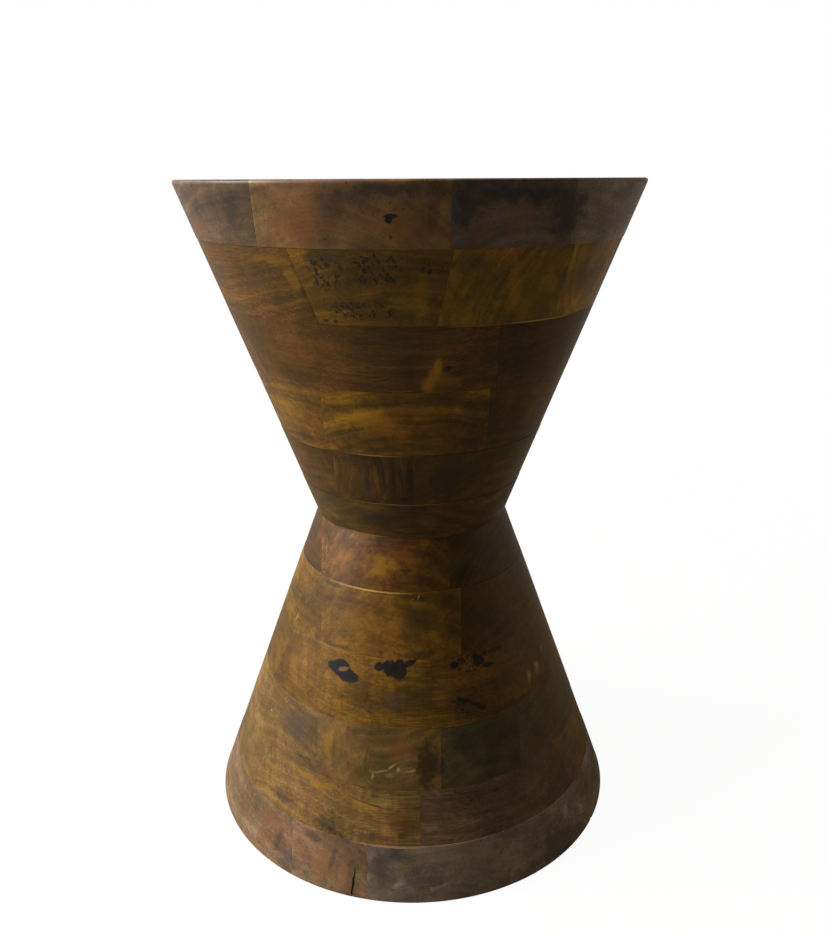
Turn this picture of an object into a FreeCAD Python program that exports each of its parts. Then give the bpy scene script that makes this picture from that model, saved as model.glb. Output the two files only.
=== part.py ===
import FreeCAD, Part
import math
import os

# An hourglass side table, turned from a stack of glued hardwood boards.
# A cone that opens upwards stands on one that opens downwards, and they meet at a narrow waist.
# The stack has twelve layers. Each layer is a panel of boards glued edge to edge, some of them
# in two lengths, and the layers are glued face to face.
# The table is solid wood: nothing but glue holds it, and nothing in it moves.
# The origin is the centre of the base, +Z is up, and the front of the table faces -Y.
# All sizes are millimetres.

# Driving dimensions of the turned form. The diameters are those of two cones that meet in a
# crisp edge at the waist, before the rims are eased.
top_diameter = 307.0
waist_diameter = 138.5
base_diameter = 308.0
top_rim_round = 2.0
base_rim_bevel = 0.8

# Thickness of each glued layer, from the top down to the base
top_thickness = 35.0
upper_second_thickness = 42.5
upper_third_thickness = 41.5
upper_fourth_thickness = 44.0
upper_fifth_thickness = 37.5
upper_waist_thickness = 28.5
lower_waist_thickness = 34.0
lower_second_thickness = 42.0
lower_third_thickness = 44.0
lower_fourth_thickness = 38.0
lower_fifth_thickness = 35.0
base_thickness = 35.0

# How far a cutting block stands out past the wood that it cuts
overrun = 10.0

# Lay of the boards, in degrees anticlockwise from front-to-back
front_to_back = 0.0
side_to_side = -90.0
slanting = 31.0

# The lay-up from the top down. Seam shares place the long glue seams across a layer, and
# butt shares place the end joints along one of its boards. Both are shares of the layer's
# narrow radius, counted from the table's axis, so that every seam stays inside the cone.
upper_cone = [
    {
        "name": "top",
        "thickness": top_thickness,
        "lay": front_to_back,
        "seam_shares": [-0.60, 0.15, 0.63],
        "butt_shares": {},
    },
    {
        "name": "upper_second",
        "thickness": upper_second_thickness,
        "lay": slanting,
        "seam_shares": [-0.41, 0.20, 0.66],
        "butt_shares": {1: -0.567, 3: 0.35},
    },
    {
        "name": "upper_third",
        "thickness": upper_third_thickness,
        "lay": side_to_side,
        "seam_shares": [-0.62, -0.08, 0.55],
        "butt_shares": {1: -0.15, 4: 0.47},
    },
    {
        "name": "upper_fourth",
        "thickness": upper_fourth_thickness,
        "lay": front_to_back,
        "seam_shares": [-0.589, 0.514],
        "butt_shares": {},
    },
    {
        "name": "upper_fifth",
        "thickness": upper_fifth_thickness,
        "lay": front_to_back,
        "seam_shares": [-0.63, 0.025],
        "butt_shares": {},
    },
    {
        "name": "upper_waist",
        "thickness": upper_waist_thickness,
        "lay": side_to_side,
        "seam_shares": [-0.46, 0.32],
        "butt_shares": {},
    },
]
lower_cone = [
    {
        "name": "lower_waist",
        "thickness": lower_waist_thickness,
        "lay": front_to_back,
        "seam_shares": [-0.927, 0.374],
        "butt_shares": {},
    },
    {
        "name": "lower_second",
        "thickness": lower_second_thickness,
        "lay": front_to_back,
        "seam_shares": [-0.776, 0.406],
        "butt_shares": {},
    },
    {
        "name": "lower_third",
        "thickness": lower_third_thickness,
        "lay": side_to_side,
        "seam_shares": [-0.36, 0.50],
        "butt_shares": {1: -0.30, 3: 0.134},
    },
    {
        "name": "lower_fourth",
        "thickness": lower_fourth_thickness,
        "lay": front_to_back,
        "seam_shares": [-0.58, -0.26, 0.168, 0.66],
        "butt_shares": {},
    },
    {
        "name": "lower_fifth",
        "thickness": lower_fifth_thickness,
        "lay": side_to_side,
        "seam_shares": [-0.55, 0.04, 0.60],
        "butt_shares": {1: 0.20, 4: 0.04},
    },
    {
        "name": "base",
        "thickness": base_thickness,
        "lay": front_to_back,
        "seam_shares": [-0.60, -0.22, 0.47],
        "butt_shares": {},
    },
]

# Sizes that follow from the driving dimensions
top_radius = top_diameter / 2
waist_radius = waist_diameter / 2
base_radius = base_diameter / 2
waist_height = sum(layer["thickness"] for layer in lower_cone)
table_height = waist_height + sum(layer["thickness"] for layer in upper_cone)
reach = max(top_radius, base_radius) + overrun


def straight_radius(z):
    """Radius of the two cones at a height above the floor."""
    if z >= waist_height:
        share = (z - waist_height) / (table_height - waist_height)
        return waist_radius + (top_radius - waist_radius) * share
    share = (waist_height - z) / waist_height
    return waist_radius + (base_radius - waist_radius) * share


def rim_at(solid, z):
    """The circular edge of a turned solid that lies nearest the height z."""
    def distance(edge):
        return max(abs(edge.BoundBox.ZMin - z), abs(edge.BoundBox.ZMax - z))

    return min(solid.Edges, key=distance)


def turned_form():
    """The whole table as it leaves the lathe, with eased rims."""
    lower = Part.makeCone(base_radius, waist_radius, waist_height)
    waist_centre = FreeCAD.Vector(0, 0, waist_height)
    upper = Part.makeCone(waist_radius, top_radius, table_height - waist_height, waist_centre)
    form = lower.fuse(upper)
    form = form.makeFillet(top_rim_round, [rim_at(form, table_height)])
    return form.makeChamfer(base_rim_bevel, [rim_at(form, 0)])


def layer_of(form, low, high):
    """One whole layer of the turned form, before it is divided into boards."""
    floor = low - overrun if low <= 0 else low
    ceiling = high + overrun if high >= table_height else high
    slab = Part.makeBox(2 * reach, 2 * reach, ceiling - floor, FreeCAD.Vector(-reach, -reach, floor))
    return form.common(slab)


def strips(places):
    """Pairs of limits from one side of the table to the other, divided at the given places."""
    limits = [-reach] + list(places) + [reach]
    return list(zip(limits[:-1], limits[1:]))


def cutting_block(across, along, low, high, lay):
    """An upright block that spans two limits across the boards and two along them."""
    corner = FreeCAD.Vector(across[0], along[0], low - overrun)
    block = Part.makeBox(across[1] - across[0], along[1] - along[0], high - low + 2 * overrun, corner)
    block.rotate(FreeCAD.Vector(0, 0, 0), FreeCAD.Vector(0, 0, 1), lay)
    return block


def board(layer_solid, across, along, low, high, lay):
    """The one solid that a cutting block leaves of a layer."""
    return layer_solid.common(cutting_block(across, along, low, high, lay)).Solids[0]


def boards_of(form, layer, low, high):
    """Every board of a layer, by name. A board in two lengths gives pieces a and b."""
    solid = layer_of(form, low, high)
    narrow_radius = min(straight_radius(low), straight_radius(high))
    seams = [share * narrow_radius for share in layer["seam_shares"]]
    made = {}
    for number, across in enumerate(strips(seams), start=1):
        butts = [layer["butt_shares"][number] * narrow_radius] if number in layer["butt_shares"] else []
        lengths = strips(butts)
        letters = "ab" if butts else [""]
        for letter, along in zip(letters, lengths):
            name = f"{layer['name']}_board_{number}{letter}"
            made[name] = board(solid, across, along, low, high, layer["lay"])
    return made


def whole_stack():
    """Every board of the table, worked down from the top."""
    form = turned_form()
    made = {}
    high = table_height
    for layer in upper_cone + lower_cone:
        low = high - layer["thickness"]
        if layer is lower_cone[-1]:
            low = 0.0
        made.update(boards_of(form, layer, low, high))
        high = low
    return made


os.makedirs("parts", exist_ok=True)
stack = whole_stack()
for name, solid in stack.items():
    solid.exportStep(f"parts/{name}.step")
cubic_mm_per_litre = 1e6
litres = math.fsum(solid.Volume for solid in stack.values()) / cubic_mm_per_litre
print(f"{len(stack)} boards, {table_height:.1f} mm high, {litres:.2f} litres of wood")
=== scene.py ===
import math
import random

import bmesh
import bpy
from mathutils import Euler, Matrix, Vector, noise


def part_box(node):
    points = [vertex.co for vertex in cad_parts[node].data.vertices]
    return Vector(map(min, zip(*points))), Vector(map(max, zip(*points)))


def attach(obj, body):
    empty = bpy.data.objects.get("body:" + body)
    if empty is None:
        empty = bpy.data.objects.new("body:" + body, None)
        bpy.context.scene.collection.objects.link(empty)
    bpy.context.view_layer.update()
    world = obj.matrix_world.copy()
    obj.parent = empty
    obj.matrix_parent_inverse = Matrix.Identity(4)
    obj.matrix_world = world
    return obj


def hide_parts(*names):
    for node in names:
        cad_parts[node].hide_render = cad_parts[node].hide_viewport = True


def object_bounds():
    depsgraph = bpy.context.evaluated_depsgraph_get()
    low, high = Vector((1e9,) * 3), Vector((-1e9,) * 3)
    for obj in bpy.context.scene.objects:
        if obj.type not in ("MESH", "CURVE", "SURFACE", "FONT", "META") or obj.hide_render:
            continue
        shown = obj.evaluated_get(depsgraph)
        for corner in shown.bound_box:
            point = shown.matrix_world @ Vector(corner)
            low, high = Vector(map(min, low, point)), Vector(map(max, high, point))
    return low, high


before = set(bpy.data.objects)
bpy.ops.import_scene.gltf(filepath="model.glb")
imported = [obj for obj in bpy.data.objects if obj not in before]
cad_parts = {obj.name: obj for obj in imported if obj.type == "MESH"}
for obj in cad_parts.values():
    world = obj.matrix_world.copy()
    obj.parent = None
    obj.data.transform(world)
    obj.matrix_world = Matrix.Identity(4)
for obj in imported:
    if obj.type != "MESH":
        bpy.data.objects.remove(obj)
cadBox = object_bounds()

mm = 0.001  # the scene is in metres
heightDecimals = 6  # heights are rounded to a thousandth of a millimetre
tableHeight = cadBox[1][2]
pureWhite = (1, 1, 1, 1)


def linear(hexColour):
    # an sRGB hex colour as the linear colour that Blender works in
    channels = [int(hexColour[i:i + 2], 16) / 255 for i in (0, 2, 4)]
    return [c / 12.92 if c <= 0.04045 else ((c + 0.055) / 1.055) ** 2.4 for c in channels] + [1.0]


def addNode(tree, kind, inputs=None, **settings):
    # adds one node, with its settings, its socket values and the links into it
    node = tree.nodes.new(kind)
    for setting, value in settings.items():
        setattr(node, setting, value)
    for socket, value in (inputs or {}).items():
        if isinstance(value, bpy.types.NodeSocket):
            tree.links.new(value, node.inputs[socket])
        else:
            node.inputs[socket].default_value = value
    return node


def maths(tree, operation, *values):
    # one sum on numbers
    return addNode(tree, "ShaderNodeMath", dict(enumerate(values)), operation=operation).outputs[0]


def vectorMaths(tree, operation, *values):
    # one sum on vectors, which gives a vector or, for a length or a dot product, a number
    node = addNode(tree, "ShaderNodeVectorMath", dict(enumerate(values)), operation=operation)
    return node.outputs["Value" if operation in ("LENGTH", "DOT_PRODUCT") else "Vector"]


def remapped(tree, value, before, after=(0, 1), shape="LINEAR"):
    # a number moved from one range to another
    return addNode(tree, "ShaderNodeMapRange", {
        "Value": value, "From Min": before[0], "From Max": before[1], "To Min": after[0], "To Max": after[1],
    }, interpolation_type=shape).outputs[0]


def blended(tree, share, below, above, blend="MIX"):
    # one colour laid over another
    return addNode(tree, "ShaderNodeMix", {0: share, 6: below, 7: above}, data_type="RGBA",
                   blend_type=blend).outputs[2]


def mixedShader(tree, share, first, second):
    return addNode(tree, "ShaderNodeMixShader", {0: share, 1: first.outputs[0], 2: second.outputs[0]})


def seenApart(tree, unseen, seen):
    # one look for the camera, and another for the light that falls on the table
    path = addNode(tree, "ShaderNodeLightPath")
    return mixedShader(tree, path.outputs["Is Camera Ray"], unseen, seen)


# Camera, level with the table top, so that its face is seen edge-on, and looking down at the waist

camera = {
    "distance": 0.6008,       # from the table's axis
    "pitch": math.radians(19.28),
    "roll": math.radians(-0.29),
    "lens": 33.13,            # for a frame 36 mm high
    "frameHeight": 36.0,
    "shift": (0.0029, 0.0134),
}


def setCamera():
    data = bpy.data.cameras.new("studioCamera")
    data.sensor_fit = "VERTICAL"
    data.sensor_height = camera["frameHeight"]
    data.lens = camera["lens"]
    data.shift_x, data.shift_y = camera["shift"]
    body = bpy.data.objects.new("studioCamera", data)
    place = Matrix.Translation((0, -camera["distance"], tableHeight))
    aim = Euler((math.pi / 2 - camera["pitch"], 0, 0)).to_matrix().to_4x4()
    body.matrix_world = place @ aim @ Matrix.Rotation(camera["roll"], 4, "Z")
    bpy.context.scene.collection.objects.link(body)
    bpy.context.scene.camera = body


setCamera()
print("camera set")


# Studio: a white floor, a dim room and two soft lights, a strong one high at the left and a weak
# warm one at the right

studio = {
    "floorRadius": 4.0,
    "floorSides": 96,
    "floorHex": "f4f3f1",
    "floorGlow": 0.95,        # share of the floor's look that no shadow dims
    "fade": (0.25, 1.3),      # between these distances the floor fades into the white backdrop
    "bounceHex": "8f8674",    # tan cloth in front, as the table sees it, which holds back the bounce
    "paperAim": (-0.2, 0.98, 0.0),      # that way the cloth gives way to lit white paper
    "paper": (0.15, 1.1),     # between these distances
    "paperGlow": 0.28,
    "brightAim": (-0.75, 0.65, 0.12),   # the room's bright corner, behind at the left
    "brightSpan": (-0.2, 0.9),          # how near that aim the corner begins, and is at its full
    "brightRoom": 1.10,       # strength of that corner
    "darkRoom": 0.125,        # and of the rest of the room, which is panelled in warm wood
    "darkRoomHex": "fff0d8",
    "backdrop": 1.0,          # what the camera sees of the room
}
softboxes = {
    "keyLeft": {"at": (-1.32, -0.17, 1.03), "size": 0.8, "power": 46.0, "tintHex": "ffffff"},
    "fillRight": {"at": (1.45, 0.10, 0.50), "size": 1.2, "power": 3.2, "tintHex": "ffd9a0"},
}
softboxAim = (0, 0, 0.22)


def makeFloor():
    bm = bmesh.new()
    bmesh.ops.create_circle(bm, cap_ends=True, segments=studio["floorSides"], radius=studio["floorRadius"])
    mesh = bpy.data.meshes.new("studioFloor")
    bm.to_mesh(mesh)
    bm.free()
    floor = bpy.data.objects.new("studioFloor", mesh)
    bpy.context.scene.collection.objects.link(floor)
    paper = bpy.data.materials.new("matteWhitePaper")
    paper.use_nodes = True
    tree = paper.node_tree
    tree.nodes.clear()
    place = addNode(tree, "ShaderNodeTexCoord").outputs["Object"]
    glow = addNode(tree, "ShaderNodeEmission", {"Color": pureWhite})
    sheet = addNode(tree, "ShaderNodeBsdfDiffuse", {"Color": linear(studio["floorHex"])})
    cloth = addNode(tree, "ShaderNodeBsdfDiffuse", {"Color": linear(studio["bounceHex"])})
    reach = vectorMaths(tree, "LENGTH", place)
    fadeShare = remapped(tree, reach, studio["fade"], (studio["floorGlow"], 1))
    depth = vectorMaths(tree, "DOT_PRODUCT", place, studio["paperAim"])
    paperShare = remapped(tree, depth, studio["paper"], (0, studio["paperGlow"]))
    dull = mixedShader(tree, paperShare, cloth, glow)
    both = seenApart(tree, dull, mixedShader(tree, fadeShare, sheet, glow))
    addNode(tree, "ShaderNodeOutputMaterial", {"Surface": both.outputs[0]})
    mesh.materials.append(paper)


def makeRoom():
    world = bpy.data.worlds.new("studioRoom")
    bpy.context.scene.world = world
    world.use_nodes = True
    tree = world.node_tree
    tree.nodes.clear()
    direction = addNode(tree, "ShaderNodeTexCoord").outputs["Generated"]
    towards = vectorMaths(tree, "DOT_PRODUCT", direction, studio["brightAim"])
    strength = remapped(tree, towards, studio["brightSpan"], (studio["darkRoom"], studio["brightRoom"]),
                        "SMOOTHSTEP")
    whiteness = remapped(tree, towards, studio["brightSpan"], shape="SMOOTHSTEP")
    shade = blended(tree, whiteness, linear(studio["darkRoomHex"]), pureWhite)
    room = addNode(tree, "ShaderNodeBackground", {"Color": shade, "Strength": strength})
    backdrop = addNode(tree, "ShaderNodeBackground", {"Color": pureWhite, "Strength": studio["backdrop"]})
    both = seenApart(tree, room, backdrop)
    addNode(tree, "ShaderNodeOutputWorld", {"Surface": both.outputs[0]})


def makeSoftbox(name, box):
    data = bpy.data.lights.new(name, "AREA")
    data.shape = "SQUARE"
    data.size = box["size"]
    data.energy = box["power"]
    data.color = linear(box["tintHex"])[:3]
    light = bpy.data.objects.new(name, data)
    place = Vector(box["at"])
    aim = (Vector(softboxAim) - place).to_track_quat("-Z", "Y")
    light.matrix_world = Matrix.Translation(place) @ aim.to_matrix().to_4x4()
    bpy.context.scene.collection.objects.link(light)


makeFloor()
makeRoom()
for name, box in softboxes.items():
    makeSoftbox(name, box)
bpy.context.scene.view_settings.view_transform = "Standard"
print("studio set")


# The turned form, read from the CAD boards

turning = {
    "facets": 288,            # flats round the full circle, too short to show
    "ringStep": 4 * mm,       # height between the level cuts up a board
    "arris": 0.15 * mm,       # eased edge of every board
    "arrisSegments": 2,
    "topRimRound": 2.0 * mm,
    "baseRimBevel": 0.8 * mm,
    "rimSegments": 8,
    "sharpAngle": math.radians(35),     # edges sharper than this are eased
    "creaseAngle": math.radians(18),    # and shading breaks at those sharper than this
    "touch": 0.001 * mm,      # corners nearer to a cut than this lie on it
    "level": 0.01 * mm,       # corners that differ less than this in height are level
    "upright": 0.01,          # a face whose normal rises less than this stands upright
    "alike": 0.999,           # and two whose normals agree better than this are one seam
    "leastSeam": 100 * mm * mm,         # a smaller upright face belongs to the rounded rim
    "skin": 0.6,              # corners further out than this share of the radius are sanded
    "wave": 0.12 * mm,        # unevenness that hand sanding leaves
    "waveLength": 45 * mm,
}
rounding = {"offset_type": "OFFSET", "profile": 0.5, "affect": "EDGES", "material": -1}

boardNames = sorted(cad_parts)
layerOf = {name: name.rsplit("_board_", 1)[0] for name in boardNames}
levels = sorted({round(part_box(name)[side].z, heightDecimals) for name in boardNames for side in (0, 1)})


def radiusAtSeam(z):
    # the widest CAD corner at the height of a seam
    reach = 0
    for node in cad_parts.values():
        for corner in node.data.vertices:
            if abs(corner.co.z - z) < turning["level"]:
                reach = max(reach, math.hypot(corner.co.x, corner.co.y))
    return reach


# The two cones, each read between the waist and a seam clear of its rim
waistZ = min(levels[1:-1], key=radiusAtSeam)
waistRadius = radiusAtSeam(waistZ)
flareTop = (radiusAtSeam(levels[-2]) - waistRadius) / (levels[-2] - waistZ)
flareBase = (radiusAtSeam(levels[1]) - waistRadius) / (waistZ - levels[1])


def turnedRadius(z):
    return waistRadius + (flareTop if z > waistZ else flareBase) * abs(z - waistZ)


def outwardAt(around):
    # the level direction out from the axis, at so many degrees round from the front
    return Vector((math.sin(math.radians(around)), -math.cos(math.radians(around)), 0))


def seamPlanes(node):
    # every upright flat of a CAD board is one of its glued seams
    planes = []
    for face in node.data.polygons:
        upright = abs(face.normal.z) < turning["upright"] and face.area > turning["leastSeam"]
        known = any(normal.dot(face.normal) > turning["alike"] for normal, _ in planes)
        if upright and not known:
            planes.append((face.normal.copy(), face.normal.dot(face.center)))
    return planes


planesOf = {name: seamPlanes(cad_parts[name]) for name in boardNames}


def holds(name, place, spare=0):
    # whether a place lies between a board's seams, or no further outside them than the spare
    return all(normal.dot(place) <= distance + spare for normal, distance in planesOf[name])


def cutAll(bm, place, normal, clear=False):
    # a flat cut through the whole board, which clears and caps the outer side if asked
    geometry = bm.verts[:] + bm.edges[:] + bm.faces[:]
    made = bmesh.ops.bisect_plane(bm, geom=geometry, dist=turning["touch"], plane_co=place,
                                  plane_no=normal, clear_outer=clear)
    if clear:
        rim = [item for item in made["geom_cut"] if isinstance(item, bmesh.types.BMEdge)]
        bmesh.ops.contextual_create(bm, geom=rim)


def turnLayer(low, high):
    # the whole layer as it leaves the lathe, before it is divided into boards
    bm = bmesh.new()
    bmesh.ops.create_cone(bm, cap_ends=True, cap_tris=False, segments=turning["facets"],
                          radius1=turnedRadius(low), radius2=turnedRadius(high), depth=high - low,
                          matrix=Matrix.Translation((0, 0, (low + high) / 2)))
    topReach = turning["topRimRound"] / math.tan(math.pi / 4 - math.atan(flareTop) / 2)
    for rimZ, reach in ((tableHeight, topReach), (0, turning["baseRimBevel"])):
        rim = [e for e in bm.edges if all(abs(v.co.z - rimZ) < turning["level"] for v in e.verts)]
        if rim:
            bmesh.ops.bevel(bm, geom=rim, offset=reach, segments=turning["rimSegments"], **rounding)
    steps = max(2, round((high - low) / turning["ringStep"]))
    for step in range(1, steps):
        cutAll(bm, (0, 0, low + (high - low) * step / steps), (0, 0, 1))
    return bm


def easeEdges(bm):
    sharp = [e for e in bm.edges if e.is_manifold and e.calc_face_angle() > turning["sharpAngle"]]
    bmesh.ops.bevel(bm, geom=sharp, offset=turning["arris"], segments=turning["arrisSegments"],
                    clamp_overlap=True, **rounding)


def sandUnevenly(bm, shy):
    # draws the turned surface in by a board's own step and by a long shallow wave
    for vert in bm.verts:
        outward = Vector((vert.co.x, vert.co.y, 0))
        if outward.length > turning["skin"] * turnedRadius(vert.co.z):
            ripple = (noise.noise(vert.co / turning["waveLength"]) + 1) / 2 * turning["wave"]
            vert.co -= outward.normalized() * (ripple + shy)


def finishBoard(bm, name):
    for face in bm.faces:
        face.smooth = True
    for edge in bm.edges:
        edge.smooth = not edge.is_manifold or edge.calc_face_angle() < turning["creaseAngle"]
    mesh = bpy.data.meshes.new(name)
    bm.to_mesh(mesh)
    bm.free()
    piece = bpy.data.objects.new(name, mesh)
    bpy.context.scene.collection.objects.link(piece)
    return piece


# How far, in millimetres, each layer or board was sanded in from the turned line. Where the
# one below stands proud, its edge shows as a thin bright ledge.
shyOf = {
    "top": 0.10,
    "upper_second": 0.40,
    "upper_third": 0.36,
    "upper_third_board_4b": 0.25,
    "upper_fourth_board_1": 0.50,
    "upper_fourth_board_2": 0.50,
    "upper_fourth_board_3": 0.42,
    "upper_fifth": 0.22,
    "upper_waist": 0.0,
    "lower_waist": 0.25,
    "lower_second": 0.05,
    "lower_third": 0.10,
    "lower_fourth": 0.15,
    "lower_fifth": 0.35,
    "base": 0.05,
}
layerBlanks = {}  # whole turned layers, each made once

# Drying cracks and nicks cut into the wood, layer by layer: degrees round from the front,
# millimetres up, half width, depth and half height in millimetres, and how far it wanders
damageOf = {
    "base": [
        (-15.6, 8.0, 0.50, 4.0, 11.0, 1.6),
        (-42, 0.3, 2.4, 0.7, 0.8, 0.4),
        (-28, 0.2, 1.6, 0.6, 0.7, 0.3),
        (35, 0.3, 2.2, 0.6, 0.8, 0.4),
        (61, 0.2, 2.8, 0.8, 0.9, 0.4),
        (118, 0.3, 2.0, 0.7, 0.8, 0.4),
        (203, 9.0, 0.40, 3.0, 8.0, 1.2),
        (256, 0.3, 2.6, 0.7, 0.9, 0.4),
    ],
    "top": [
        (-31, 456.6, 2.6, 0.6, 0.7, 0.4),
        (9.5, 456.5, 2.2, 0.6, 0.8, 0.4),
        (60, 456.4, 2.0, 0.7, 0.8, 0.4),
        (142, 456.5, 2.4, 0.7, 0.8, 0.4),
        (232, 456.4, 1.8, 0.6, 0.7, 0.3),
    ],
}


# The shape of the wood that a crack or nick has lost
chipping = {
    "subdivisions": 4,
    "rough": 0.35,            # how far it departs from an egg shape
    "lumps": 2.3,             # how many lumps it has to its half size, and how many bends
    "bends": 1.9,
    "apart": 9,               # and how much the lumps differ from place to place
}


def makeChip(around, up, wide, deep, high, wander):
    # the rough lump of wood that one crack or nick has lost, lying in the turned surface
    bm = bmesh.new()
    bmesh.ops.create_icosphere(bm, subdivisions=chipping["subdivisions"], radius=1)
    outward = outwardAt(around)
    along = Vector((0, 0, 1)) + outward * (flareTop if up * mm > waistZ else -flareBase)
    across = outward.cross(along).normalized()
    middle = outward * turnedRadius(up * mm) + Vector((0, 0, up * mm))
    for vert in bm.verts:
        lump = noise.noise(vert.co * chipping["lumps"] + outward * chipping["apart"])
        rough = 1 + chipping["rough"] * lump
        drift = wander * noise.noise(Vector((around, up, vert.co.z * chipping["bends"])))
        x, y, z = vert.co * rough
        place = Vector((x * wide + drift, y * deep, z * high)) * mm
        vert.co = middle + across * place.x + outward * place.y + along.normalized() * place.z
    return bm


def cutAway(bm, chip):
    # the board without the chip
    solids = []
    for shape in (bm, chip):
        mesh = bpy.data.meshes.new("blank")
        shape.to_mesh(mesh)
        shape.free()
        solids.append(bpy.data.objects.new("blank", mesh))
        bpy.context.scene.collection.objects.link(solids[-1])
    cut = solids[0].modifiers.new("cut", "BOOLEAN")
    cut.operation = "DIFFERENCE"
    cut.solver = "MANIFOLD"
    cut.object = solids[1]
    left = bmesh.new()
    left.from_object(solids[0], bpy.context.evaluated_depsgraph_get())
    for solid in solids:
        bpy.data.meshes.remove(solid.data)
    return left


def makeBoard(name, shy):
    low, high = (round(corner.z, heightDecimals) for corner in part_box(name))
    layer = layerOf[name]
    if layer not in layerBlanks:
        layerBlanks[layer] = turnLayer(low, high)
    bm = layerBlanks[layer].copy()
    for normal, distance in planesOf[name]:
        cutAll(bm, normal * distance, normal, clear=True)
    easeEdges(bm)
    sandUnevenly(bm, shy)
    for around, up, *size in damageOf.get(layer, []):
        if holds(name, outwardAt(around) * turnedRadius(up * mm)):
            bm = cutAway(bm, makeChip(around, up, *size))
    return finishBoard(bm, name + "_wood")


# Finish: mango wood, stained by hand and sprayed with satin lacquer. The stain gives deep,
# uneven browns, spalting gives blue-black specks, and the lacquer gives a soft broad sheen.

lacquer = {
    "roughness": 0.46,
    "roughnessSpread": 0.20,
    "specular": 0.25,
    "ior": 1.48,
    "relief": 0.35,           # how much of the grain still shows through it, and how deep that is
    "reliefDepth": 0.15 * mm,
    "fibreRelief": 0.5,       # how much of that the fibres have, beside the pores
}

# Wood figure, in millimetres. The two sizes of a streak or pore are its spacing across the grain
# and along it. Fibres and pores are really under 0.1 mm and 0.3 mm wide, and are drawn coarser
# so that they show.
figure = {
    "apart": 900.0,           # how far up or down its tree a board may come from
    "wander": 7.0,            # how far the grain strays from straight
    "wanders": (45.0, 130.0),
    "bands": (15.0, 95.0),    # broad streaks of light and dark heartwood
    "fibres": (1.1, 26.0),
    "pores": (2.2, 12.0),
    "poreShare": 0.20,        # of their spacing that the largest pores fill
    "poreSpread": 0.55,       # and how much smaller the others are
    "poreTone": 0.6,
    "cloud": 38.0,            # patches where the stain took more or less
    "mottle": 3.6,            # small flecks of figure that catch the stain
    "hues": (6.0, 19.0),      # streaks where it runs greener or redder
    "hueShare": 0.20,
    "fleck": 4.5,             # flecks where it looks more golden or greyer
    "fleckSpan": (0.3, 0.7),
    "fleckBlue": (0.65, 1.35),
    "grit": 4.0,              # raggedness of a small mark's edge
    "fringe": (7.0, 24.0),    # and of a broad one's, which follows the grain
    "fringeDepth": 2.4,
    "broadFrom": 6.0,         # half width and half height above which a mark is broad
    "broadHigh": 1.5,
    "curl": (26.0, 4.5),      # ripples across the grain of curly boards
    "specks": (3.2, 5.5),     # spacing of spalting specks, sideways and up
    "speckSpread": 0.25,      # how much they differ in size
    "speckRim": (0.44, 0.36),           # shares of it where a speck begins, and is at its full
    "endGrainStain": 0.30,    # how much darker end grain takes the stain
    "endGrainCalm": 0.75,     # and how far its fibres fade
}

# How much of the stain's range, dark to light, each part of the figure takes up
toneShares = {
    "bands": 0.55,
    "fibres": 0.8,
    "rings": 1.3,             # times the board's own strength of rings
    "curl": 1.2,              # times its own strength of curl
    "mottle": 0.14,
    "curlyMottle": 0.5,       # likewise
    "clouds": 0.45,
}
toneStops = (0.15, 0.5, 0.85)           # where in that range the three tones of a stain lie

# Stain tones from dark to light, as sRGB
tints = {
    "golden": ("2f1f04", "634209", "946a1a"),
    "amber": ("2a1703", "593505", "885810"),
    "honey": ("2b1b05", "593d0b", "845b16"),
    "tobacco": ("281905", "50330b", "775118"),
    "umber": ("1d1505", "3c290a", "5c4413"),
    "olive": ("211a05", "463509", "69520f"),
    "drab": ("272010", "4e4327", "716139"),
    "khaki": ("33250f", "624823", "8b6a37"),
    "russet": ("37220f", "6c4f32", "947144"),
    "plum": ("2c2016", "58432f", "7e664a"),
    "ash": ("302823", "625344", "8a7762"),
    "stone": ("2a2622", "5e534b", "847a6c"),
    "straw": ("2a1f06", "5f450c", "8a6a1e"),
}

# Colours of the marks in the wood. Shade, soot and wear also serve for painted shade and painted highlights
marks = {
    "spalt": "0f1012",
    # soot: dark dashes in the wood, and also painted shade inside the crack and at the waist's right edge
    "soot": "17130c",
    "slate": "23251f",
    "navy": "1e242e",
    "mauve": "3d2e2b",
    # shade: darker streaks of stain, and also broad painted shade where the lower cone turns from the light
    "shade": "2a1e0a",
    "rust": "74401c",
    "copper": "8c5a38",
    "steel": "3a3f40",
    "flame": "a87812",
    "gold": "936814",
    "moss": "3c3812",
    "heart": "6e4a30",
    # wear: pale rubbed wood, and along the seams a painted highlight, where the edge of a proud board
    # catches the light
    "wear": "b08a4c",
    "scuff": "b8a688",
}

# Which way the boards of a layer lie, in degrees from front to back
layDegrees = {"upper_second": 31}
for layer in ("upper_third", "upper_waist", "lower_third", "lower_fifth"):
    layDegrees[layer] = -90


def mark(around, up, wide, high, colour, strength, **own):
    # one mark in the wood, or a painted shade or highlight: degrees round from the front, millimetres up,
    # and half sizes in millimetres
    usual = {"ragged": 0.9, "edge": 0.7, "tilt": 0, "specks": False, "crosses": False, "out": None}
    return {"around": around, "up": up, "wide": wide, "high": high, "colour": colour,
            "strength": strength, **usual, **own}


def wash(*sizes, **own):
    # a mark that lies across the seams
    return mark(*sizes, crosses=True, **own)


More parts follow.
